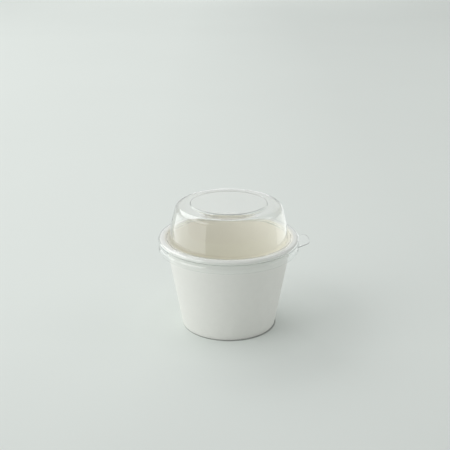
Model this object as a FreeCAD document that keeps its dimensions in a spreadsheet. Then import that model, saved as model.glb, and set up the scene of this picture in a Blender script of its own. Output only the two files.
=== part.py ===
"""Paper dessert cup with a clear domed lid.

Three pieces: the cup's side wall with its rolled rim and folded foot, the recessed bottom
whose skirt is clamped in that fold, and a thermoformed lid that snaps over the rim.
Each piece is a bent sheet, so each is a sheet section turned about the cup's axis.
Frame: origin on the axis at the base ring, +Z up, +X towards the lid's pull tab. Millimetres.
"""
import FreeCAD, Part
import math
import os

import Sketcher

# alias, value, what it sets
SIZES = [
    ("cup_height", 60.6, "base ring to the top of the rolled rim"),
    ("base_radius", 31.1, "outside of the wall at the base ring"),
    ("mouth_radius", 41.25, "inside of the wall, carried up to the height of the rim"),
    ("paper_gauge", 0.4, "thickness of the side wall's board"),
    ("roll_width", 3.75, "outside of the rolled rim beyond the mouth radius"),
    ("roll_height", 2.5, "height of the rolled rim"),
    ("roll_flat", 0.2, "straight stretch at the outside of the roll"),
    ("tuck_flat", 0.9, "straight stretch under the roll"),
    ("tuck_headroom", 0.7, "board's edge inside the roll, below the roll's top"),
    ("tuck_gap", 0.15, "gap between that tucked edge and the wall"),
    ("hem_gap", 1.0, "hem folded up inside the foot, below the floor"),
    ("fold_bend", 0.15, "inner bend radius of the fold at the base ring"),
    ("seam_width", 7.0, "overlap of the side seam, measured at the base"),
    ("seam_margin", 0.6, "distance of the seam's ends from the base ring and the roll"),
    ("floor_height", 6.0, "height of the cup's floor above the base ring"),
    ("floor_gauge", 0.4, "thickness of the bottom's board"),
    ("floor_bend", 0.6, "inner bend radius between the floor and its skirt"),
    ("skirt_lift", 0.25, "skirt's edge above the inside of the fold"),
    ("glue_gap", 0.05, "glue line on each side of the skirt"),
    ("film_gauge", 0.3, "thickness of the lid's sheet"),
    ("seat_gap", 0.1, "lid above the top of the rim"),
    ("plug_depth", 0.9, "groove floor below the top of the rim"),
    ("plug_clearance", 0.3, "lid's plug inside the wall"),
    ("plug_lean", 0.35, "how far the plug wall leans outwards on its way up"),
    ("groove_width", 1.65, "floor of the groove between the plug wall and the dome"),
    ("groove_bend", 0.3, "inner bend radius in the groove"),
    ("channel_bend", 0.4, "inner bend radius at the near top of the channel over the rim"),
    ("bead_clearance", 0.8, "channel's outer wall outside the rim"),
    ("bead_bend", 1.3, "inner bend radius at the far top of the channel"),
    ("bead_drop", 1.9, "lower end of the channel's outer wall, below the top of the rim"),
    ("neck_clearance", 0.12, "lid's neck outside the rim, so that the lid lifts off"),
    ("neck_drop", 0.2, "neck below the underside of the roll"),
    ("neck_bend", 0.5, "inner bend radius above and below the neck"),
    ("apron_height", 1.5, "straight apron below the neck"),
    ("lip_step", 0.5, "lip outside the apron"),
    ("lip_slope", 0.6, "height in which the lip steps out"),
    ("lip_height", 2.8, "height of the lip below its step"),
    ("lip_bend", 0.5, "inner bend radius at the lip's step"),
    ("waist_lean", 1.2, "dome at its waist, inside its foot"),
    ("waist_height", 9.0, "waist, where the dome's slope changes, above the rim"),
    ("waist_bend", 11.7, "inner bend radius there"),
    ("shoulder_lean", 3.15, "corner at the top of the dome, inside the waist"),
    ("dome_height", 22.4, "top of the dome above the rim"),
    ("shoulder_bend", 4.5, "inner bend radius of that corner"),
    ("panel_margin", 9.25, "raised panel's foot inside the corner of the dome"),
    ("panel_rise", 1.2, "height of the panel above the top"),
    ("panel_draft", 0.5, "how far the panel's side leans outwards"),
    ("panel_bend", 0.3, "inner bend radius at the panel's side"),
    ("tab_reach", 7.5, "pull tab beyond the lip"),
    ("tab_rise", 3.5, "outer end of the tab above its root"),
    ("tab_width", 15.6, "width of the tab at its root"),
    ("tab_corner", 3.0, "corner radius of the tab"),
]

RIM_RADIUS = "(Sizes.mouth_radius + Sizes.roll_width)"

# radial lean of the side wall for each millimetre of height
WALL_SLOPE = (
    "(Sizes.mouth_radius - Sizes.base_radius + Sizes.paper_gauge)"
    " / (Sizes.cup_height - Sizes.paper_gauge)"
)


def wall_inside(height):
    """Expression for the radius of the wall's inner face at a height above the base ring."""
    return f"(Sizes.mouth_radius - {WALL_SLOPE} * (Sizes.cup_height - ({height})))"


def make_sheet(doc):
    """The driving dimensions, one named cell each."""
    sheet = doc.addObject("Spreadsheet::Sheet", "Sizes")
    for row, (alias, value, meaning) in enumerate(SIZES, start=1):
        sheet.set(f"A{row}", alias)
        sheet.set(f"B{row}", str(value))
        sheet.set(f"C{row}", meaning)
        sheet.setAlias(f"B{row}", alias)
    doc.recompute()
    return sheet


def origin_plane(body, role):
    return next(plane for plane in body.Origin.OriginFeatures if plane.Role == role)


def unit(vector):
    return FreeCAD.Vector(vector).normalize()


def leftward(direction):
    return FreeCAD.Vector(-direction.y, direction.x, 0)


class SheetSection:
    """Closed sketch of a bent sheet of even thickness.

    The guide face runs through corners given as (radius, height, bend) expressions, with no
    bend at the two ends. The cover face lies one gauge away, on the left of the guide's
    direction for side=1 and on its right for side=-1. A bend is the inner bend radius,
    whichever face is the inner one there.
    """

    def __init__(self, body, name, plane, corners, gauge, side):
        self.sketch = body.newObject("Sketcher::SketchObject", name)
        self.sketch.AttachmentSupport = [(origin_plane(body, plane), "")]
        self.sketch.MapMode = "FlatFace"
        self.corners = corners
        self.gauge = gauge
        self.side = side
        self.constraints = []
        self.bindings = []
        self.thickness = self.sketch.evalExpression(gauge)
        self.points = [
            FreeCAD.Vector(self.sketch.evalExpression(r), self.sketch.evalExpression(z), 0)
            for r, z, _ in corners
        ]
        self.ways = [unit(b - a) for a, b in zip(self.points, self.points[1:])]
        guide = self.add_face(0)
        cover = self.add_face(1)
        self.bind_guide(guide)
        self.bind_cover(guide, cover)
        self.close_end(guide, cover, 0)
        self.close_end(guide, cover, -1)
        self.sketch.addConstraint(self.constraints)
        for index, expression in self.bindings:
            self.sketch.setExpression(f"Constraints[{index}]", expression)

    def constrain(self, kind, *arguments, value=None, expression=None):
        """Notes a constraint, and the expression that its value is bound to."""
        if value is not None:
            arguments = arguments + (value,)
        if expression is not None:
            self.bindings.append((len(self.constraints), expression))
        self.constraints.append(Sketcher.Constraint(kind, *arguments))

    def turn(self, corner):
        """Signed angle by which the guide turns at a corner, positive to the left."""
        before = self.ways[corner - 1]
        after = self.ways[corner]
        return math.atan2(before.cross(after).z, before.dot(after))

    def bend(self, corner, layer):
        """Expression for the bend radius of the guide (layer 0) or the cover (layer 1)."""
        inner_layer = 1 if self.turn(corner) * self.side > 0 else 0
        bend = self.corners[corner][2]
        return bend if layer == inner_layer else f"{bend} + {self.gauge}"

    def bend_radius(self, corner, layer):
        return self.sketch.evalExpression(self.bend(corner, layer))

    def bend_arc(self, corner, layer):
        """Arc of a bend, its centre shared by both faces."""
        turn = self.turn(corner)
        inwards = unit(self.ways[corner] - self.ways[corner - 1])
        centre = self.points[corner] + inwards * (self.bend_radius(corner, 0) / math.cos(turn / 2))
        away = -leftward(self.ways[corner - 1]) * math.copysign(1, turn)
        start = math.atan2(away.y, away.x)
        first, last = (start, start + turn) if turn > 0 else (start + turn, start)
        circle = Part.Circle(centre, FreeCAD.Vector(0, 0, 1), self.bend_radius(corner, layer))
        return Part.ArcOfCircle(circle, first, last)

    def add_face(self, layer):
        """Lines and bends of one face, as (lines, arcs) of geometry indices."""
        shift = self.thickness * self.side * layer
        trims = [0.0]
        for corner in range(1, len(self.points) - 1):
            trims.append(self.bend_radius(corner, 0) * math.tan(abs(self.turn(corner)) / 2))
        trims.append(0.0)
        lines = []
        for k, way in enumerate(self.ways):
            offset = leftward(way) * shift
            start = self.points[k] + way * trims[k] + offset
            end = self.points[k + 1] - way * trims[k + 1] + offset
            lines.append(self.sketch.addGeometry(Part.LineSegment(start, end)))
        arcs = [
            self.sketch.addGeometry(self.bend_arc(corner, layer))
            for corner in range(1, len(self.points) - 1)
        ]
        for k, arc in enumerate(arcs):
            entry, leave = (1, 2) if self.turn(k + 1) > 0 else (2, 1)
            self.constrain("Tangent", lines[k], 2, arc, entry)
            self.constrain("Tangent", arc, leave, lines[k + 1], 1)
        return lines, arcs

    def place(self, geometry, position, corner):
        """Ties a point to the radius and height of a corner."""
        r, z, _ = self.corners[corner]
        at = self.points[corner]
        self.constrain("DistanceX", -1, 1, geometry, position, value=at.x, expression=r)
        self.constrain("DistanceY", -1, 1, geometry, position, value=at.y, expression=z)

    def bind_guide(self, guide):
        lines, arcs = guide
        self.place(lines[0], 1, 0)
        self.place(lines[-1], 2, len(self.points) - 1)
        for k, arc in enumerate(arcs):
            corner = self.sketch.addGeometry(Part.Point(self.points[k + 1]), True)
            self.place(corner, 1, k + 1)
            self.constrain("PointOnObject", corner, 1, lines[k])
            self.constrain("PointOnObject", corner, 1, lines[k + 1])
            self.bind_bend(arc, k + 1, 0)

    def bind_cover(self, guide, cover):
        for inner, outer in zip(guide[0], cover[0]):
            self.constrain("Parallel", outer, inner)
            self.constrain(
                "Distance", outer, 1, inner, value=self.thickness, expression=self.gauge
            )
        for k, arc in enumerate(cover[1]):
            self.bind_bend(arc, k + 1, 1)

    def bind_bend(self, arc, corner, layer):
        radius = self.bend_radius(corner, layer)
        self.constrain("Radius", arc, value=radius, expression=self.bend(corner, layer))

    def close_end(self, guide, cover, which):
        """Square cut at one end of the sheet."""
        position = 1 if which == 0 else 2
        point = self.points[which]
        far = point + leftward(self.ways[which]) * (self.thickness * self.side)
        edge = self.sketch.addGeometry(Part.LineSegment(point, far))
        self.constrain("Coincident", edge, 1, guide[0][which], position)
        self.constrain("Coincident", edge, 2, cover[0][which], position)
        self.constrain("Perpendicular", edge, guide[0][which])


def revolve(body, name, section, angle=None):
    """Turns a section about the axis: all the way round, or evenly about its own plane."""
    feature = body.newObject("PartDesign::Revolution", name)
    feature.Profile = section.sketch
    feature.ReferenceAxis = (section.sketch, ["V_Axis"])
    feature.Angle = 360
    if angle is not None:
        feature.Midplane = True
        feature.setExpression("Angle", angle)
    return feature


def make_body(doc, label):
    body = doc.addObject("PartDesign::Body", label)
    body.Label = label
    return body


def make_sidewall(doc):
    """Conical wall with a rolled rim, a hem folded up inside the foot, and a glued seam."""
    body = make_body(doc, "cup_sidewall")
    roll_foot = "Sizes.cup_height - Sizes.roll_height"
    roll_round = "(Sizes.roll_height - Sizes.roll_flat) / 2"
    roll_bend = f"{roll_round} - Sizes.paper_gauge"
    tuck_radius = "Sizes.mouth_radius + Sizes.paper_gauge + Sizes.tuck_gap"
    tuck_head = "Sizes.cup_height - Sizes.paper_gauge - Sizes.tuck_headroom"
    tuck_bend = f"{RIM_RADIUS} - ({tuck_radius}) - Sizes.tuck_flat - {roll_round} - Sizes.paper_gauge"
    fold_radius = "Sizes.base_radius - Sizes.paper_gauge"
    hem_radius = f"{fold_radius} - Sizes.floor_gauge - 2 * Sizes.glue_gap"
    hem_head = "Sizes.floor_height - Sizes.floor_gauge - Sizes.hem_gap"
    hem_lean = f"{WALL_SLOPE} * ({hem_head} - Sizes.paper_gauge)"
    corners = [
        (tuck_radius, tuck_head, None),
        (tuck_radius, roll_foot, tuck_bend),
        (RIM_RADIUS, roll_foot, roll_bend),
        (RIM_RADIUS, "Sizes.cup_height", roll_bend),
        ("Sizes.mouth_radius", "Sizes.cup_height", roll_bend),
        (fold_radius, "Sizes.paper_gauge", "Sizes.fold_bend"),
        (hem_radius, "Sizes.paper_gauge", "Sizes.fold_bend"),
        (f"{hem_radius} + {hem_lean}", hem_head, None),
    ]
    wall = SheetSection(body, "WallSection", "XZ_Plane", corners, "Sizes.paper_gauge", 1)
    revolve(body, "Wall", wall)

    seam_foot = "Sizes.seam_margin"
    seam_head = f"{roll_foot} - Sizes.seam_margin"
    seam_corners = [
        (f"{wall_inside(seam_foot)} + Sizes.paper_gauge / 2", seam_foot, None),
        (f"{wall_inside(seam_head)} + Sizes.paper_gauge / 2", seam_head, None),
    ]
    seam = SheetSection(
        body, "SeamSection", "YZ_Plane", seam_corners, "1.5 * Sizes.paper_gauge", -1
    )
    revolve(body, "Seam", seam, "Sizes.seam_width / Sizes.base_radius * 180 / pi")
    return body


def make_bottom(doc):
    """Recessed floor with a skirt that hangs inside the wall, held by the folded hem."""
    body = make_body(doc, "cup_bottom")
    skirt_foot = "Sizes.paper_gauge + Sizes.skirt_lift"
    corners = [
        ("0", "Sizes.floor_height", None),
        (f"{wall_inside('Sizes.floor_height')} - Sizes.glue_gap", "Sizes.floor_height",
         "Sizes.floor_bend"),
        (f"{wall_inside(skirt_foot)} - Sizes.glue_gap", skirt_foot, None),
    ]
    section = SheetSection(body, "FloorSection", "XZ_Plane", corners, "Sizes.floor_gauge", -1)
    revolve(body, "Floor", section)
    return body


def make_lid(doc):
    """Domed lid with a plug inside the mouth, a channel over the rim, a neck and a pull tab.

    Its own heights start at the top of the rim.
    """
    body = make_body(doc, "dome_lid")
    body.setExpression("Placement.Base.z", "Sizes.cup_height")
    groove_floor = "-Sizes.plug_depth"
    plug_foot = (
        f"{wall_inside('Sizes.cup_height - Sizes.plug_depth')}"
        " - Sizes.plug_clearance - Sizes.film_gauge"
    )
    channel_top = "Sizes.seat_gap + Sizes.film_gauge"
    bead_radius = f"{RIM_RADIUS} + Sizes.bead_clearance + Sizes.film_gauge"
    neck_radius = f"{RIM_RADIUS} + Sizes.neck_clearance + Sizes.film_gauge"
    neck = "-Sizes.roll_height - Sizes.neck_drop"
    apron_foot = f"{neck} - Sizes.apron_height"
    lip_head = f"{apron_foot} - Sizes.lip_slope"
    lip_foot = f"{lip_head} - Sizes.lip_height"
    lip_radius = f"{neck_radius} + Sizes.lip_step"
    dome_foot = f"{plug_foot} - Sizes.groove_width"
    waist = f"{dome_foot} - Sizes.waist_lean"
    shoulder = f"{waist} - Sizes.shoulder_lean"
    panel_foot = f"{shoulder} - Sizes.panel_margin"
    panel_edge = f"{panel_foot} - Sizes.panel_draft"
    panel_top = "Sizes.dome_height + Sizes.panel_rise"
    corners = [
        ("0", panel_top, None),
        (panel_edge, panel_top, "Sizes.panel_bend"),
        (panel_foot, "Sizes.dome_height", "Sizes.panel_bend"),
        (shoulder, "Sizes.dome_height", "Sizes.shoulder_bend"),
        (waist, "Sizes.waist_height", "Sizes.waist_bend"),
        (dome_foot, groove_floor, "Sizes.groove_bend"),
        (plug_foot, groove_floor, "Sizes.groove_bend"),
        (f"{plug_foot} + Sizes.plug_lean", channel_top, "Sizes.channel_bend"),
        (bead_radius, channel_top, "Sizes.bead_bend"),
        (bead_radius, "-Sizes.bead_drop", "Sizes.neck_bend"),
        (neck_radius, neck, "Sizes.neck_bend"),
        (neck_radius, apron_foot, "Sizes.lip_bend"),
        (lip_radius, lip_head, "Sizes.lip_bend"),
        (lip_radius, lip_foot, None),
    ]
    shell = SheetSection(body, "LidSection", "XZ_Plane", corners, "Sizes.film_gauge", -1)
    revolve(body, "Lid", shell)

    # the tab starts in the middle of the lip's thickness, so that it joins the lip all along
    tab_root = f"{lip_radius} - Sizes.film_gauge / 2"
    tab_end = f"{lip_radius} + Sizes.tab_reach"
    tab_height = f"{lip_foot} + Sizes.film_gauge"
    tab_corners = [
        (tab_root, tab_height, None),
        (tab_end, f"{tab_height} + Sizes.tab_rise", None),
    ]
    tab = SheetSection(body, "TabSection", "XZ_Plane", tab_corners, "Sizes.film_gauge", -1)
    revolve(body, "Tab", tab, f"Sizes.tab_width / ({lip_radius}) * 180 / pi")
    doc.recompute()

    corner_edges = outer_tab_edges(body)
    corner_round = body.newObject("PartDesign::Fillet", "TabCorners")
    corner_round.Base = (body.getObject("Tab"), corner_edges)
    corner_round.setExpression("Radius", "Sizes.tab_corner")
    body.Tip = corner_round
    return body


def outer_tab_edges(body):
    """Names of the two short edges at the outer corners of the tab."""
    shape = body.getObject("Tab").Shape
    gauge = body.evalExpression("Sizes.film_gauge")
    reach = shape.BoundBox.XMax
    short = [
        (f"Edge{number}", edge)
        for number, edge in enumerate(shape.Edges, start=1)
        if edge.Length < 2 * gauge and abs(edge.CenterOfMass.y) > 2 * gauge
    ]
    half_reach = reach - body.evalExpression("Sizes.tab_reach") / 2
    return [name for name, edge in short if edge.CenterOfMass.x > half_reach]


def check_document(doc):
    """Stops at any object that failed to compute."""
    doc.recompute()
    for item in doc.Objects:
        bad = [state for state in item.State if state in ("Invalid", "Error")]
        if bad:
            raise RuntimeError(f"{item.Name}: {bad}")


def main():
    doc = FreeCAD.newDocument("dessert_cup")
    make_sheet(doc)
    bodies = [make_sidewall(doc), make_bottom(doc), make_lid(doc)]
    check_document(doc)
    for body in bodies:
        shape = body.Shape
        if shape.isNull() or not shape.isValid() or len(shape.Solids) != 1:
            raise RuntimeError(f"{body.Label}: not one valid solid")
    os.makedirs("parts", exist_ok=True)
    for body in bodies:
        shape = body.Shape
        shape.exportStep(f"parts/{body.Label}.step")
        box = shape.BoundBox
        print(f"{body.Label}: {shape.Volume:.1f} mm3, x {box.XMin:.2f}..{box.XMax:.2f},"
              f" y {box.YMin:.2f}..{box.YMax:.2f}, z {box.ZMin:.2f}..{box.ZMax:.2f}")


main()
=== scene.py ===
"""Looks of a paper dessert cup with a clear domed lid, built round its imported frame.

Cup and lid are bent sheets turned about the cup's axis, so each mesh is a sheet section with
both faces, revolved. Their sizes are millimetres; meshes, lamps and camera are in metres.
The studio is laid out as the camera sees it: x to the right, y away, azimuth 0 towards the
camera and negative to the left. The whole studio is turned about the cup's axis, so that the
pull tab on the frame's +X points a little past the right.
"""

import math

import bmesh
import bpy
import numpy as np
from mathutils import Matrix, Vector


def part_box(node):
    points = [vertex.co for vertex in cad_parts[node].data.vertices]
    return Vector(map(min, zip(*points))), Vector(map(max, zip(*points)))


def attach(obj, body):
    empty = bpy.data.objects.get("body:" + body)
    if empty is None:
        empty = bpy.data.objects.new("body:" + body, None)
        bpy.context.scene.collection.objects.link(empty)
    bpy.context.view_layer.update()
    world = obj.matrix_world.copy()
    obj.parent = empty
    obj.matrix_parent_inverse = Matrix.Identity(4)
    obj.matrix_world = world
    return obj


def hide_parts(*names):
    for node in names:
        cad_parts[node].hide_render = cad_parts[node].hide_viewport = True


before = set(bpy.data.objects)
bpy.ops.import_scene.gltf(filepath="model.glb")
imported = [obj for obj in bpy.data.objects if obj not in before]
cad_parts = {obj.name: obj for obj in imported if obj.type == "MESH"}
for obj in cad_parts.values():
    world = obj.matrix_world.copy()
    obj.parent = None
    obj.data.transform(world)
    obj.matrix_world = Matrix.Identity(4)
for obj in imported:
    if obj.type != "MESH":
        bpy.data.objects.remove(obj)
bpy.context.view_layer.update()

MM = 0.001

# cup, in millimetres
CUP_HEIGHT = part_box("cup_sidewall")[1].z / MM
RIM_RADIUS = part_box("cup_sidewall")[1].x / MM
BASE_RADIUS = 31.1
ROLL_WIDTH = 3.75
MOUTH_RADIUS = RIM_RADIUS - ROLL_WIDTH
PAPER_GAUGE = 0.4
ROLL_HEIGHT = 2.5
ROLL_FLAT = 0.2
TUCK_FLAT = 0.9
TUCK_HEADROOM = 0.7
TUCK_GAP = 0.15
HEM_GAP = 1.0
FOLD_BEND = 0.15
FLOOR_HEIGHT = 6.0
FLOOR_GAUGE = 0.4
FLOOR_BEND = 0.6
SKIRT_LIFT = 0.25
GLUE_GAP = 0.05
SEAM_WIDTH = 7.0
SEAM_MARGIN = 0.6
SEAM_FADE = 0.6
COATING_FOOT = 2.0
COATING_FADE = 0.3
SWAY_FOOT = 8.0
SWAY_HEAD = 6.0
SWAY_FADE = 16.0

# the glued overlap's thickness as a share of the board's
SEAM_PRESSED = 0.9

# the glued overlap about the axis, in radians: its middle, its cut side, its side pressed to
# nothing, and the width beside them that has fine columns too
SEAM_AZIMUTH = math.radians(90)
SEAM_CUT = 0.0025
SEAM_PRESSED_SIDE = 0.075
SEAM_SPARE = 0.03

# waves round the axis: how many, their height in millimetres and their phase in radians
WALL_WAVES = ((2, 0.10, 0.7), (5, 0.05, 2.1))
DOME_WAVES = ((2, 0.10, 0.4), (3, 0.05, 1.9))
FILM_LINES = ((17, 0.010, 0.6), (29, 0.006, 2.2))

# lid, in millimetres, heights above the top of the rim
FILM_GAUGE = 0.3
SEAT_GAP = 0.1
PLUG_DEPTH = 0.9
PLUG_CLEARANCE = 0.3
PLUG_LEAN = 0.35
GROOVE_WIDTH = 1.65
GROOVE_BEND = 0.3
CHANNEL_BEND = 0.4
BEAD_CLEARANCE = 0.8
BEAD_BEND = 1.3
BEAD_DROP = 1.9
NECK_CLEARANCE = 0.12
NECK_DROP = 0.2
NECK_BEND = 0.5
APRON_HEIGHT = 1.5
LIP_STEP = 0.5
LIP_SLOPE = 0.6
LIP_HEIGHT = 2.8
LIP_BEND = 0.5
WAIST_LEAN = 1.2
WAIST_HEIGHT = 9.0
WAIST_BEND = 11.7
SHOULDER_LEAN = 3.15
DOME_HEIGHT = 22.4
SHOULDER_BEND = 4.5
PANEL_MARGIN = 9.25
PANEL_RISE = 1.2
PANEL_DRAFT = 0.5
PANEL_BEND = 0.3
TAB_REACH = 7.5
TAB_RISE = 3.5
TAB_WIDTH = 15.6
TAB_CORNER = 3.0
TAB_CURL = 0.25
WAVES_FOOT = -1.0
WAVES_FADE = 9.0
SHOULDER_MARGIN = 1.0
SHOULDER_FADE = 2.0
PANEL_SAG = 0.18
PANEL_SAG_POWER = 1.5

# fineness of the meshes: columns and rows, and the longest step of a section in millimetres
# and in angle
WALL_COLUMNS = 250
SEAM_COLUMNS = 12
BOTTOM_COLUMNS = 240
LID_COLUMNS = 288
TAB_COLUMNS = 19
TAB_ROWS = 6
CORNER_ROWS = 9
STRAIGHT_STEP = 1.6
BEND_STEP = math.radians(11)

# turn between faces above which an edge stays sharp
PAPER_CREASE = math.radians(40)
FILM_CREASE = math.radians(55)

# distance from the axis, in metres, under which points are one
ON_AXIS = 1e-7

WALL_SLOPE = (MOUTH_RADIUS - BASE_RADIUS + PAPER_GAUGE) / (CUP_HEIGHT - PAPER_GAUGE)

# photograph
TAB_TURN = math.radians(7.4)
CAMERA_AT = (-0.00244, -0.5394, 0.2673)
CAMERA_DIP = math.radians(20.26)
FOCAL_PIXELS = 880.0
FRAME_PIXELS = 450.0
SENSOR_WIDTH = 36.0


def wall_inside(height):
    """Radius of the wall's inner face at a height above the base ring."""
    return MOUTH_RADIUS - WALL_SLOPE * (CUP_HEIGHT - height)


# sheet sections

def unit(vector):
    return vector / np.linalg.norm(vector)


def leftward(way):
    return np.array([-way[1], way[0]])


def sheet_section(corners, gauge, side):
    """Both faces of a bent sheet, as equally long lists of (radius, height).

    The guide face runs through corners (radius, height, inner bend radius); the cover face
    lies one gauge to its left for side=1 and to its right for side=-1. The third result is
    each point's stretch: the number of the straight that it is on or, in a bend, has just left.
    """
    points = [np.array(corner[:2], float) for corner in corners]
    ways = [unit(b - a) for a, b in zip(points, points[1:])]
    guide, cover, stretch = [], [], []
    start = points[0]
    for k, way in enumerate(ways):
        offset = leftward(way) * gauge * side
        last = k == len(ways) - 1
        if last:
            end = points[-1]
        else:
            turn = math.atan2(way[0] * ways[k + 1][1] - way[1] * ways[k + 1][0], way @ ways[k + 1])
            bend = corners[k + 1][2]
            cover_is_inner = turn * side > 0
            radius = bend + gauge if cover_is_inner else bend
            cover_radius = bend if cover_is_inner else bend + gauge
            end = points[k + 1] - way * radius * math.tan(abs(turn) / 2)
        steps = max(1, math.ceil(np.linalg.norm(end - start) / STRAIGHT_STEP))
        for t in np.linspace(0, 1, steps + 1):
            guide.append(start + (end - start) * t)
            cover.append(start + (end - start) * t + offset)
            stretch.append(k)
        if last:
            break
        sign = math.copysign(1, turn)
        centre = end + leftward(way) * sign * radius
        away = -leftward(way) * sign
        arc_steps = max(2, math.ceil(abs(turn) / BEND_STEP))
        for t in np.linspace(0, 1, arc_steps + 1)[1:-1]:
            c, s = math.cos(turn * t), math.sin(turn * t)
            ray = np.array([away[0] * c - away[1] * s, away[0] * s + away[1] * c])
            guide.append(centre + ray * radius)
            cover.append(centre + ray * cover_radius)
            stretch.append(k)
        start = points[k + 1] + ways[k + 1] * radius * math.tan(abs(turn) / 2)
    return np.array(guide), np.array(cover), np.array(stretch)


# stretches that the sidewall's section numbers: flat top of the rim, and the wall
RIM_TOP = 3
WALL = 4


def sidewall_section():
    roll_foot = CUP_HEIGHT - ROLL_HEIGHT
    roll_round = (ROLL_HEIGHT - ROLL_FLAT) / 2
    roll_bend = roll_round - PAPER_GAUGE
    tuck_radius = MOUTH_RADIUS + PAPER_GAUGE + TUCK_GAP
    tuck_bend = RIM_RADIUS - tuck_radius - TUCK_FLAT - roll_round - PAPER_GAUGE
    fold_radius = BASE_RADIUS - PAPER_GAUGE
    hem_radius = fold_radius - FLOOR_GAUGE - 2 * GLUE_GAP
    hem_head = FLOOR_HEIGHT - FLOOR_GAUGE - HEM_GAP
    corners = [
        (tuck_radius, CUP_HEIGHT - PAPER_GAUGE - TUCK_HEADROOM, None),
        (tuck_radius, roll_foot, tuck_bend),
        (RIM_RADIUS, roll_foot, roll_bend),
        (RIM_RADIUS, CUP_HEIGHT, roll_bend),
        (MOUTH_RADIUS, CUP_HEIGHT, roll_bend),
        (fold_radius, PAPER_GAUGE, FOLD_BEND),
        (hem_radius, PAPER_GAUGE, FOLD_BEND),
        (hem_radius + WALL_SLOPE * (hem_head - PAPER_GAUGE), hem_head, None),
    ]
    return sheet_section(corners, PAPER_GAUGE, 1)


def bottom_section():
    skirt_foot = PAPER_GAUGE + SKIRT_LIFT
    corners = [
        (0, FLOOR_HEIGHT, None),
        (wall_inside(FLOOR_HEIGHT) - GLUE_GAP, FLOOR_HEIGHT, FLOOR_BEND),
        (wall_inside(skirt_foot) - GLUE_GAP, skirt_foot, None),
    ]
    return sheet_section(corners, FLOOR_GAUGE, -1)


# radii and heights of the lid, worked out from the sizes above
PLUG_FOOT = wall_inside(CUP_HEIGHT - PLUG_DEPTH) - PLUG_CLEARANCE - FILM_GAUGE
DOME_FOOT = PLUG_FOOT - GROOVE_WIDTH
WAIST_RADIUS = DOME_FOOT - WAIST_LEAN
SHOULDER_RADIUS = WAIST_RADIUS - SHOULDER_LEAN
PANEL_FOOT = SHOULDER_RADIUS - PANEL_MARGIN
NECK_RADIUS = RIM_RADIUS + NECK_CLEARANCE + FILM_GAUGE
LIP_RADIUS = NECK_RADIUS + LIP_STEP
NECK_AT = CUP_HEIGHT - ROLL_HEIGHT - NECK_DROP
LIP_HEAD = NECK_AT - APRON_HEIGHT - LIP_SLOPE
LIP_FOOT = LIP_HEAD - LIP_HEIGHT


def lid_section():
    channel_top = CUP_HEIGHT + SEAT_GAP + FILM_GAUGE
    bead_radius = RIM_RADIUS + BEAD_CLEARANCE + FILM_GAUGE
    groove_floor = CUP_HEIGHT - PLUG_DEPTH
    top = CUP_HEIGHT + DOME_HEIGHT
    corners = [
        (0, top + PANEL_RISE, None),
        (PANEL_FOOT - PANEL_DRAFT, top + PANEL_RISE, PANEL_BEND),
        (PANEL_FOOT, top, PANEL_BEND),
        (SHOULDER_RADIUS, top, SHOULDER_BEND),
        (WAIST_RADIUS, CUP_HEIGHT + WAIST_HEIGHT, WAIST_BEND),
        (DOME_FOOT, groove_floor, GROOVE_BEND),
        (PLUG_FOOT, groove_floor, GROOVE_BEND),
        (PLUG_FOOT + PLUG_LEAN, channel_top, CHANNEL_BEND),
        (bead_radius, channel_top, BEAD_BEND),
        (bead_radius, CUP_HEIGHT - BEAD_DROP, NECK_BEND),
        (NECK_RADIUS, NECK_AT, NECK_BEND),
        (NECK_RADIUS, NECK_AT - APRON_HEIGHT, LIP_BEND),
        (LIP_RADIUS, LIP_HEAD, LIP_BEND),
        (LIP_RADIUS, LIP_FOOT, None),
    ]
    guide, cover, _ = sheet_section(corners, FILM_GAUGE, -1)
    # one more row, where the tab's upper face meets the lip
    tab_root = LIP_FOOT + FILM_GAUGE
    guide = np.insert(guide, -1, (LIP_RADIUS, tab_root), axis=0)
    cover = np.insert(cover, -1, (LIP_RADIUS - FILM_GAUGE, tab_root), axis=0)
    return guide, cover


# meshes

def smooth_mesh(name, points, faces, crease, inside=None):
    """Mesh object from points in millimetres, smooth except where faces turn by more than crease.

    inside is 1 at points on the cup's coated inside and 0 elsewhere, for the paper's finish.
    """
    mesh = bpy.data.meshes.new(name)
    mesh.from_pydata([tuple(p) for p in np.asarray(points) * MM], [], faces)
    if inside is not None:
        mesh.attributes.new("inside", "FLOAT", "POINT").data.foreach_set("value", inside)
    work = bmesh.new()
    work.from_mesh(mesh)
    on_axis = [v for v in work.verts if math.hypot(v.co.x, v.co.y) < ON_AXIS]
    bmesh.ops.remove_doubles(work, verts=on_axis, dist=ON_AXIS)
    bmesh.ops.recalc_face_normals(work, faces=work.faces)
    work.to_mesh(mesh)
    work.free()
    mesh.shade_smooth()
    mesh.set_sharp_from_angle(angle=crease)
    obj = bpy.data.objects.new(name, mesh)
    bpy.context.scene.collection.objects.link(obj)
    return obj


def turned(line, angles, swell=None, outward=None):
    """Grid of points, row by row, of a line turned about the axis.

    swell gives each point's shift in millimetres along outward, the line's own normals.
    """
    radius = np.repeat(line[:, :1], len(angles), axis=1)
    height = np.repeat(line[:, 1:], len(angles), axis=1)
    if swell is not None:
        radius = radius + outward[:, :1] * swell
        height = height + outward[:, 1:] * swell
    return np.stack([radius * np.cos(angles), radius * np.sin(angles), height], axis=2)


def ring_faces(first, rows, columns, skip=None):
    """Quads of a closed grid whose vertices start at first; skip(row, column) leaves some out."""
    faces = []
    for row in range(rows - 1):
        for column in range(columns):
            if skip is not None and skip(row, column):
                continue
            a = first + row * columns + column
            b = first + row * columns + (column + 1) % columns
            faces.append((a, b, b + columns, a + columns))
    return faces


def strip_faces(line_a, line_b):
    """Quads between two equally long lists of vertex numbers."""
    return [
        (line_a[k], line_a[k + 1], line_b[k + 1], line_b[k])
        for k in range(len(line_a) - 1)
    ]


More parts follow.
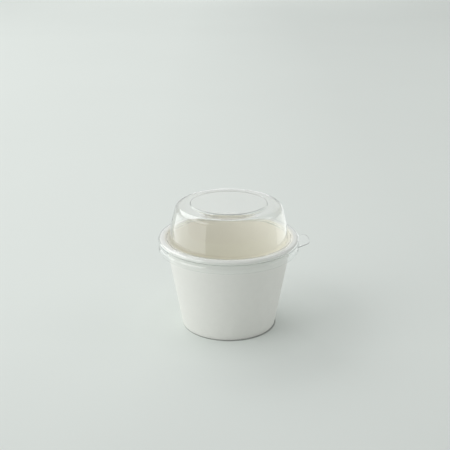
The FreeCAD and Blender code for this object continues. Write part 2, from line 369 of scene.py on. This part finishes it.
def closed_shell(guide_grid, cover_grid):
    """Points and quads of a turned sheet: two grids joined at their first and last rows."""
    rows, columns = guide_grid.shape[:2]
    points = np.concatenate([guide_grid.reshape(-1, 3), cover_grid.reshape(-1, 3)])
    second = rows * columns
    faces = ring_faces(0, rows, columns) + ring_faces(second, rows, columns)
    for row in (0, rows - 1):
        near = [row * columns + k for k in range(columns)] + [row * columns]
        far = [second + k for k in near]
        faces += strip_faces(near, far)
    return points, faces


def eased(x, start, fade):
    """0 up to start, rising smoothly to 1 over fade."""
    rise = np.clip((x - start) / fade, 0, 1)
    return rise * rise * (3 - 2 * rise)


def plateau(x, low, high, fade):
    """0 outside low and high, rising smoothly to 1 over fade inside each."""
    return eased(x, low, fade) * eased(-x, -high, fade)


def waves(angles, parts):
    return sum(size * np.sin(count * angles + phase) for count, size, phase in parts)


def build_sidewall(name):
    guide, cover, stretch = sidewall_section()
    half_seam = SEAM_WIDTH / BASE_RADIUS / 2
    near_seam = SEAM_AZIMUTH + np.concatenate([
        np.linspace(-half_seam - SEAM_SPARE, -half_seam - SEAM_CUT, 3),
        [-half_seam, -half_seam + SEAM_CUT],
        np.linspace(-half_seam + SEAM_SPARE, half_seam + 2 * SEAM_SPARE, SEAM_COLUMNS),
    ])
    rest = np.linspace(near_seam[-1], near_seam[0] + 2 * math.pi, WALL_COLUMNS)[1:-1]
    angles = np.concatenate([near_seam, rest])
    across = angles - SEAM_AZIMUTH
    layer = np.where(across > 0, eased(-across, -half_seam, SEAM_PRESSED_SIDE), 1.0)
    layer = np.where(across < -half_seam - SEAM_CUT / 2, 0.0, layer)
    layer[len(near_seam):] = 0.0

    height = guide[:, 1]
    flexing = plateau(height, SWAY_FOOT, CUP_HEIGHT - SWAY_HEAD, SWAY_FADE) * (stretch == WALL)
    sway = flexing[:, None] * waves(angles, WALL_WAVES)[None, :]
    seam_head = CUP_HEIGHT - ROLL_HEIGHT - SEAM_MARGIN
    seam_rows = plateau(cover[:, 1], SEAM_MARGIN, seam_head, SEAM_FADE) * (stretch == WALL)
    outward = (cover - guide) / PAPER_GAUGE
    overlap = PAPER_GAUGE * SEAM_PRESSED * seam_rows[:, None] * layer[None, :]
    points, faces = closed_shell(
        turned(guide, angles, sway, outward),
        turned(cover, angles, sway + overlap, outward),
    )
    mouth_edge = MOUTH_RADIUS + (ROLL_HEIGHT - ROLL_FLAT) / 2
    coated = np.clip((mouth_edge - guide[:, 0]) / COATING_FADE, 0, 1)
    coated = coated * (stretch >= RIM_TOP) * (height > COATING_FOOT)
    inside = np.concatenate([np.repeat(coated, len(angles)), np.zeros(len(cover) * len(angles))])
    return smooth_mesh(name, points, faces, PAPER_CREASE, inside)


def build_bottom(name):
    guide, cover, _ = bottom_section()
    angles = np.arange(BOTTOM_COLUMNS) * 2 * math.pi / BOTTOM_COLUMNS
    points, faces = closed_shell(turned(guide, angles), turned(cover, angles))
    inside = np.repeat([1.0, 0.0], len(guide) * len(angles))
    return smooth_mesh(name, points, faces, PAPER_CREASE, inside)


def tab_rows():
    """Distances along the tab and its half width there, with a rounded outer corner."""
    slope = math.hypot(TAB_REACH, TAB_RISE) / TAB_REACH
    length = TAB_REACH * slope
    corner_from = length - TAB_CORNER
    straight = np.linspace(0, corner_from, TAB_ROWS)
    arc = np.linspace(0, math.pi / 2, CORNER_ROWS)[1:]
    along = np.concatenate([straight, corner_from + TAB_CORNER * np.sin(arc)])
    half_width = np.full(len(along), TAB_WIDTH / 2)
    half_width[len(straight):] -= TAB_CORNER * (1 - np.cos(arc))
    return along / slope, half_width


def lid_angles():
    """Angles of the lid's columns. The first TAB_COLUMNS of them span the tab."""
    half_tab = TAB_WIDTH / LIP_RADIUS / 2
    in_tab = np.linspace(-half_tab, half_tab, TAB_COLUMNS)
    rest = np.linspace(half_tab, 2 * math.pi - half_tab, LID_COLUMNS)[1:-1]
    return np.concatenate([in_tab, rest])


def lid_relief(guide, angles):
    """Shift of the film in millimetres: slight waves of the drawn dome, and a sagging panel."""
    height = guide[:, 1][:, None]
    radius = guide[:, 0][:, None]
    drawn = eased(height, CUP_HEIGHT + WAVES_FOOT, WAVES_FADE)
    dome = eased(radius, SHOULDER_RADIUS - SHOULDER_MARGIN, SHOULDER_FADE)
    sag = -PANEL_SAG * np.clip(1 - radius / PANEL_FOOT, 0, 1) ** PANEL_SAG_POWER
    return drawn * dome * (waves(angles, DOME_WAVES) + waves(angles, FILM_LINES))[None, :] + sag


def build_lid(name):
    guide, cover = lid_section()
    angles = lid_angles()
    columns, rows = len(angles), len(guide)
    outward = (guide - cover) / FILM_GAUGE
    relief = lid_relief(guide, angles)
    root_row = rows - 2
    guide_grid = turned(guide, angles, relief, outward)
    cover_grid = turned(cover, angles, relief, outward)
    second = rows * columns
    points = [guide_grid.reshape(-1, 3), cover_grid.reshape(-1, 3)]

    def under_tab(row, column):
        return row >= root_row and column < TAB_COLUMNS - 1

    faces = ring_faces(0, rows, columns, under_tab) + ring_faces(second, rows, columns)
    edge = [(rows - 1) * columns + k for k in range(columns)] + [(rows - 1) * columns]
    faces += strip_faces(edge, [second + k for k in edge])

    along, half_width = tab_rows()
    top_rows = [[root_row * columns + k for k in range(TAB_COLUMNS)]]
    under_rows = [[(rows - 1) * columns + k for k in range(TAB_COLUMNS)]]
    spread = np.linspace(-1, 1, TAB_COLUMNS)
    count = 2 * second
    for out, half in zip(along[1:], half_width[1:]):
        radius = LIP_RADIUS + out
        turn = spread * half / LIP_RADIUS
        curl = TAB_CURL * (np.abs(spread) ** 3) * eased(out, 0, TAB_REACH)
        lift = TAB_RISE * out / TAB_REACH - curl
        for drop, kept in ((FILM_GAUGE, top_rows), (0.0, under_rows)):
            z = LIP_FOOT + drop + lift
            line = np.stack([radius * np.cos(turn), radius * np.sin(turn), z], axis=1)
            points.append(line)
            kept.append(list(range(count, count + TAB_COLUMNS)))
            count += TAB_COLUMNS
    for lines in (top_rows, under_rows):
        for a, b in zip(lines, lines[1:]):
            faces += strip_faces(a, b)
    rim_top = [r[0] for r in top_rows] + top_rows[-1][1:] + [r[-1] for r in top_rows[-2::-1]]
    rim_under = [r[0] for r in under_rows] + under_rows[-1][1:]
    rim_under += [r[-1] for r in under_rows[-2::-1]]
    faces += strip_faces(rim_top, rim_under)
    return smooth_mesh(name, np.concatenate(points), faces, FILM_CREASE)


# materials

# noise scales are cycles per metre, bump depths metres
OUTSIDE_COLOUR = (0.815, 0.82, 0.78)
INSIDE_COLOUR = (0.892, 0.868, 0.768)
DARK_FLECK = 0.98
LIGHT_FLECK = 1.01
OUTSIDE_ROUGHNESS = 0.62
INSIDE_ROUGHNESS = 0.48
SMOOTHER_CLOUD = 0.05
ROUGHER_CLOUD = 0.07
PAPER_GLOSS = 0.4
CLOUD_SCALE = 260.0
CLOUD_DEPTH = 0.00005
FIBRE_SCALE = 2600.0
FIBRE_SHARE = 0.5
FIBRE_DEPTH = 0.00003
FIBRE_STRETCH = (1.0, 1.0, 0.28)

FILM_TINT = (0.985, 0.995, 0.99, 1)
PASSING_TINT = (0.975, 0.98, 0.978, 1)
FILM_IOR = 1.57
FILM_ROUGHNESS = (0.012, 0.035)
HAZE_SCALE = 500.0
RIPPLE_SCALE = 130.0
RIPPLE_DEPTH = 0.00006
RIPPLE_STRETCH = (1.0, 1.0, 0.22)

TABLE_COLOUR = (0.776, 0.822, 0.790)
TABLE_CLOUD = (0.985, 1.0)
TABLE_CLOUD_SCALE = 3.0

# painted light and shade on the table, as if lit from the left: paler on the left, darker far off
# and near the camera, with a painted shadow round the cup's base and a darker painted contact
# shadow at its foot. What is measured, tones at its first and its last value, and these two
# values in metres
FOOT = BASE_RADIUS * MM
TABLE_PAINTED_SHADE = (
    # painted light, falling off from the left
    ("x", 1.0, 0.925, -0.10, 0.17),
    # painted shade, darker far off
    ("y", 1.0, 0.90, 0.20, 1.70),
    # painted shade, darker near the camera
    ("y", 0.94, 1.0, -0.16, -0.04),
    # painted shadow round the cup's base
    ("from_axis", 0.94, 1.0, FOOT, 2 * FOOT),
    # painted contact shadow at the cup's foot
    ("from_contact", 0.50, 1.0, FOOT - 0.0003, FOOT + 0.0005),
)
# the painted contact shadow is centred a little towards the camera and the right, in metres
PAINTED_CONTACT_SHADOW_CENTRE = (0.0005, -0.0009, 0.0)


def new_material(name):
    material = bpy.data.materials.new(name)
    material.use_nodes = True
    nodes = material.node_tree.nodes
    nodes.clear()
    output = nodes.new("ShaderNodeOutputMaterial")
    shader = nodes.new("ShaderNodeBsdfPrincipled")
    material.node_tree.links.new(shader.outputs[0], output.inputs["Surface"])
    return material, nodes, material.node_tree.links, shader, output


def noise(nodes, links, vector, scale, detail, roughness):
    node = nodes.new("ShaderNodeTexNoise")
    node.inputs["Scale"].default_value = scale
    node.inputs["Detail"].default_value = detail
    node.inputs["Roughness"].default_value = roughness
    links.new(vector, node.inputs["Vector"])
    return node.outputs["Fac"]


def ranged(nodes, links, value, low, high, from_low=0.3, from_high=0.7):
    """Value spread from low to high. Unless given, its own range is the usual one of noise."""
    node = nodes.new("ShaderNodeMapRange")
    node.inputs["From Min"].default_value = from_low
    node.inputs["From Max"].default_value = from_high
    node.inputs["To Min"].default_value = low
    node.inputs["To Max"].default_value = high
    links.new(value, node.inputs["Value"])
    return node.outputs["Result"]


def mixed_colour(nodes, links, factor, first, second):
    node = nodes.new("ShaderNodeMix")
    node.data_type = "RGBA"
    node.inputs["A"].default_value = (*first, 1)
    node.inputs["B"].default_value = (*second, 1)
    links.new(factor, node.inputs["Factor"])
    return node.outputs["Result"]


def stretched(nodes, links, vector, scale):
    node = nodes.new("ShaderNodeMapping")
    node.inputs["Scale"].default_value = scale
    links.new(vector, node.inputs["Vector"])
    return node.outputs["Vector"]


def calculated(nodes, links, operation, *values):
    """Result of a maths node, whose values are sockets or plain numbers."""
    node = nodes.new("ShaderNodeMath")
    node.operation = operation
    for socket, value in zip(node.inputs, values):
        if isinstance(value, bpy.types.NodeSocket):
            links.new(value, socket)
        else:
            socket.default_value = value
    return node.outputs[0]


def distance_from(nodes, links, place, centre):
    node = nodes.new("ShaderNodeVectorMath")
    node.operation = "DISTANCE"
    links.new(place, node.inputs[0])
    node.inputs[1].default_value = centre
    return node.outputs["Value"]


def bumped(nodes, links, height, depth, before=None):
    node = nodes.new("ShaderNodeBump")
    node.inputs["Strength"].default_value = 1.0
    node.inputs["Distance"].default_value = depth
    links.new(height, node.inputs["Height"])
    if before is not None:
        links.new(before, node.inputs["Normal"])
    return node.outputs["Normal"]


def paper_material(name):
    """Bleached board: cloudy formation, short fibres and a soft tooth.

    The inside is coated, so it is smoother, and creamier in tone.
    """
    material, nodes, links, shader, _ = new_material(name)
    place = nodes.new("ShaderNodeTexCoord").outputs["Object"]
    cloud = noise(nodes, links, place, CLOUD_SCALE, 4.0, 0.6)
    fibre_place = stretched(nodes, links, place, FIBRE_STRETCH)
    fibre = noise(nodes, links, fibre_place, FIBRE_SCALE, 3.0, 0.65)
    tone = calculated(nodes, links, "MULTIPLY_ADD", fibre, FIBRE_SHARE, cloud)
    flecked = ranged(nodes, links, tone, 0.0, 1.0, 0.5, 1.0)
    side = nodes.new("ShaderNodeAttribute")
    side.attribute_name = "inside"
    inside = side.outputs["Fac"]
    colour = nodes.new("ShaderNodeMix")
    colour.data_type = "RGBA"
    links.new(inside, colour.inputs["Factor"])
    for socket, base in (("A", OUTSIDE_COLOUR), ("B", INSIDE_COLOUR)):
        darker = tuple(c * DARK_FLECK for c in base)
        lighter = tuple(c * LIGHT_FLECK for c in base)
        links.new(mixed_colour(nodes, links, flecked, darker, lighter), colour.inputs[socket])
    links.new(colour.outputs["Result"], shader.inputs["Base Color"])

    smoothest, roughest = OUTSIDE_ROUGHNESS - SMOOTHER_CLOUD, OUTSIDE_ROUGHNESS + ROUGHER_CLOUD
    clouded = ranged(nodes, links, cloud, smoothest, roughest)
    coating = INSIDE_ROUGHNESS - OUTSIDE_ROUGHNESS
    roughness = calculated(nodes, links, "MULTIPLY_ADD", inside, coating, clouded)
    links.new(roughness, shader.inputs["Roughness"])
    tooth = bumped(nodes, links, fibre, FIBRE_DEPTH)
    links.new(bumped(nodes, links, cloud, CLOUD_DEPTH, before=tooth), shader.inputs["Normal"])
    shader.inputs["Specular IOR Level"].default_value = PAPER_GLOSS
    return material


def film_material(name):
    """Clear thermoformed PET with the faint ripple of a drawn sheet.

    Rays from lamps and from paper go straight through, so that the cup below is lit.
    """
    material, nodes, links, shader, output = new_material(name)
    shader.inputs["Base Color"].default_value = FILM_TINT
    shader.inputs["Transmission Weight"].default_value = 1.0
    shader.inputs["IOR"].default_value = FILM_IOR
    place = nodes.new("ShaderNodeTexCoord").outputs["Object"]
    ripple_place = stretched(nodes, links, place, RIPPLE_STRETCH)
    ripple = noise(nodes, links, ripple_place, RIPPLE_SCALE, 2.0, 0.4)
    haze = noise(nodes, links, place, HAZE_SCALE, 3.0, 0.6)
    links.new(ranged(nodes, links, haze, *FILM_ROUGHNESS), shader.inputs["Roughness"])
    links.new(bumped(nodes, links, ripple, RIPPLE_DEPTH), shader.inputs["Normal"])
    passing = nodes.new("ShaderNodeBsdfTransparent")
    passing.inputs["Color"].default_value = PASSING_TINT
    path = nodes.new("ShaderNodeLightPath").outputs
    straight = calculated(nodes, links, "MAXIMUM", path["Is Shadow Ray"], path["Is Diffuse Ray"])
    mix = nodes.new("ShaderNodeMixShader")
    links.new(straight, mix.inputs[0])
    links.new(shader.outputs[0], mix.inputs[1])
    links.new(passing.outputs[0], mix.inputs[2])
    links.new(mix.outputs[0], output.inputs["Surface"])
    return material


def floor_material(name):
    """Pale matt table top with painted light and shade in its colour: paler on the left, darker far
    off and near the camera, and painted shadows round and at the cup's base.
    """
    material, nodes, links, shader, _ = new_material(name)
    place = nodes.new("ShaderNodeTexCoord").outputs["Object"]
    parts = nodes.new("ShaderNodeSeparateXYZ")
    links.new(place, parts.inputs[0])
    along = {
        "x": parts.outputs["X"],
        "y": parts.outputs["Y"],
        "from_axis": distance_from(nodes, links, place, (0, 0, 0)),
        "from_contact": distance_from(nodes, links, place, PAINTED_CONTACT_SHADOW_CENTRE),
    }
    cloud = noise(nodes, links, place, TABLE_CLOUD_SCALE, 3.0, 0.5)
    shade = ranged(nodes, links, cloud, *TABLE_CLOUD)
    # multiply in the painted light and shade, on top of the table's random tone
    for measure, *tone_range in TABLE_PAINTED_SHADE:
        tone = ranged(nodes, links, along[measure], *tone_range)
        shade = calculated(nodes, links, "MULTIPLY", shade, tone)
    colour = mixed_colour(nodes, links, shade, (0, 0, 0), TABLE_COLOUR)
    links.new(colour, shader.inputs["Base Color"])
    # no gloss, so that the cards don't show in it
    shader.inputs["Specular IOR Level"].default_value = 0.0
    return material


# studio

def studio_pivot():
    pivot = bpy.data.objects.new("studio", None)
    pivot.rotation_euler = (0, 0, -TAB_TURN)
    bpy.context.scene.collection.objects.link(pivot)
    return pivot


def make_camera(pivot):
    data = bpy.data.cameras.new("photo_view")
    data.sensor_width = SENSOR_WIDTH
    data.sensor_fit = "HORIZONTAL"
    data.lens = FOCAL_PIXELS / FRAME_PIXELS * SENSOR_WIDTH
    data.clip_start = 0.01
    data.clip_end = 30
    camera = bpy.data.objects.new("photo_view", data)
    camera.location = CAMERA_AT
    camera.rotation_euler = (math.pi / 2 - CAMERA_DIP, 0, 0)
    camera.parent = pivot
    bpy.context.scene.collection.objects.link(camera)
    bpy.context.scene.camera = camera


# lamps that light the scene: azimuth and elevation from the cup in degrees, width and height
# in metres, radiance, seen in gloss and through film
LAMPS = {
    "window": (-75.0, 10.0, 2.70, 0.98, 1.6, False),
    "upper_left": (-70.0, 40.0, 1.65, 1.30, 1.9, True),
    "upper_back_left": (-130.0, 40.0, 2.25, 1.30, 1.85, True),
    "upper_back": (-170.0, 42.0, 1.40, 1.20, 0.85, False),
    "back": (178.0, 8.0, 1.40, 0.70, 1.05, False),
    "back_right": (118.0, 8.0, 1.65, 0.75, 1.1, False),
    "right": (95.0, 35.0, 1.40, 1.20, 0.75, True),
}

# the lamps' distance from the point that they face, and its height, in metres
LAMP_DISTANCE = 2.6
AIM_HEIGHT = 0.05

# upright cards that light nothing and only show as reflections: azimuths from and to in
# degrees, distance, foot and head in metres, radiance
CARDS = {
    "window_card": (-130.0, -43.0, 0.20, 0.001, 0.14, 1.65),
    "window_frame": (-41.8, -40.4, 0.20, 0.001, 0.14, 2.3),
    "right_table": (97.0, 158.0, 0.20, 0.001, 0.085, 0.9),
    "back_wall": (150.0, 210.0, 0.60, 0.25, 0.52, 0.44),
    "far_window": (171.0, 187.0, 0.60, 0.07, 0.22, 1.7),
}
SKY_RADIANCE = 0.53


def place_lamp(pivot, name, away, centre, width, height, radiance):
    """Glowing panel at centre that faces back along away and isn't seen by the camera."""
    data = bpy.data.lights.new(name, "AREA")
    data.shape = "RECTANGLE"
    data.size = width
    data.size_y = height
    data.energy = radiance * width * height * math.pi
    lamp = bpy.data.objects.new(name, data)
    lamp.location = centre
    lamp.rotation_euler = away.to_track_quat("Z", "Y").to_euler()
    lamp.visible_camera = False
    lamp.parent = pivot
    bpy.context.scene.collection.objects.link(lamp)
    return lamp


def direction(azimuth, elevation=0.0):
    turn, lift = math.radians(azimuth), math.radians(elevation)
    return Vector((math.sin(turn) * math.cos(lift), -math.cos(turn) * math.cos(lift), math.sin(lift)))


def make_lights(pivot):
    for name, (azimuth, elevation, width, height, radiance, in_gloss) in LAMPS.items():
        away = direction(azimuth, elevation)
        centre = away * LAMP_DISTANCE + Vector((0, 0, AIM_HEIGHT))
        lamp = place_lamp(pivot, name, away, centre, width, height, radiance)
        lamp.visible_glossy = in_gloss
        lamp.visible_transmission = in_gloss
    for name, (start, end, distance, foot, head, radiance) in CARDS.items():
        away = direction((start + end) / 2)
        centre = away * distance + Vector((0, 0, (foot + head) / 2))
        width = 2 * distance * math.tan(math.radians(end - start) / 2)
        card = place_lamp(pivot, name, away, centre, width, head - foot, radiance)
        card.visible_diffuse = False
        card.visible_transmission = False
    world = bpy.data.worlds.new("room")
    world.use_nodes = True
    world.node_tree.nodes["Background"].inputs["Color"].default_value = (1, 1, 1, 1)
    world.node_tree.nodes["Background"].inputs["Strength"].default_value = SKY_RADIANCE
    bpy.context.scene.world = world


# enough for light to cross the lid's folds and spread inside the cup
LIGHT_BOUNCES = 20

# reach of the floor to each side, towards the camera and away from it, in metres
FLOOR_SIDE = 3.0
FLOOR_NEAR = -1.2
FLOOR_FAR = 5.0


def make_floor(pivot):
    corners = [
        (-FLOOR_SIDE, FLOOR_NEAR, 0), (FLOOR_SIDE, FLOOR_NEAR, 0),
        (FLOOR_SIDE, FLOOR_FAR, 0), (-FLOOR_SIDE, FLOOR_FAR, 0),
    ]
    mesh = bpy.data.meshes.new("floor")
    mesh.from_pydata(corners, [], [(0, 1, 2, 3)])
    floor = bpy.data.objects.new("floor", mesh)
    floor.data.materials.append(floor_material("table_top"))
    floor.parent = pivot
    bpy.context.scene.collection.objects.link(floor)


# build

paper = paper_material("paper")
film = film_material("clear_film")

sidewall = build_sidewall("sidewall")
sidewall.data.materials.append(paper)
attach(sidewall, "cup")
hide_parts("cup_sidewall")

bottom = build_bottom("bottom")
bottom.data.materials.append(paper)
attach(bottom, "cup")
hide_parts("cup_bottom")

lid = build_lid("lid")
lid.data.materials.append(film)
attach(lid, "lid")
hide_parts("dome_lid")

pivot = studio_pivot()
make_camera(pivot)
make_lights(pivot)
make_floor(pivot)

scene = bpy.context.scene
scene.view_settings.view_transform = "Standard"
scene.cycles.max_bounces = LIGHT_BOUNCES
scene.cycles.transmission_bounces = LIGHT_BOUNCES
scene.cycles.transparent_max_bounces = 2 * LIGHT_BOUNCES
